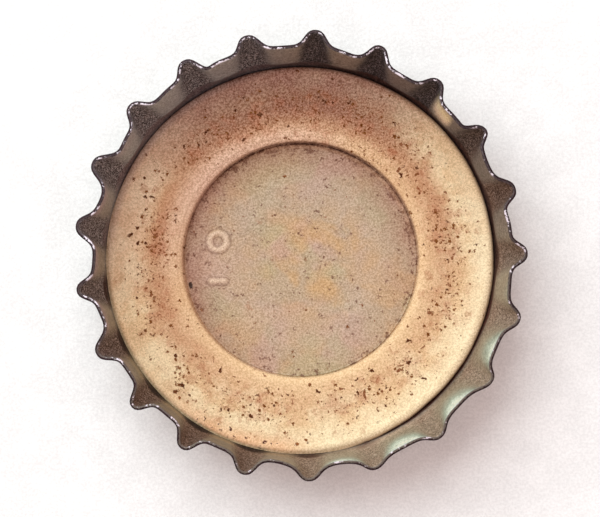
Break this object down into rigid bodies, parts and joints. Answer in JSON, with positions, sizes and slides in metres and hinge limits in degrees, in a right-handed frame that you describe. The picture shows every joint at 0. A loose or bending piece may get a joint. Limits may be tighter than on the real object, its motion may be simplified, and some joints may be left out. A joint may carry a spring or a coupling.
{
  "type": "bottle cap",
  "caption": "Used fluted tinplate bottle cap, lying open side up, with a moulded plastic liner inside it.",
  "frame": {"origin": "middle of the panel's outside face, which the cap rests on", "axes": "+Z along the cap's axis, up through its open mouth; +X and +Y lie in the panel's plane"},
  "size_m": [0.0309, 0.031, 0.006],
  "materials": {
    "tinplate": "dull, stained lacquered tinplate",
    "liner_plastic": "aged cream plastic with dirt specks"
  },
  "bodies": {
    "root": {"crown_shell": "tinplate", "liner": "liner_plastic"}
  },
  "joints": []
}
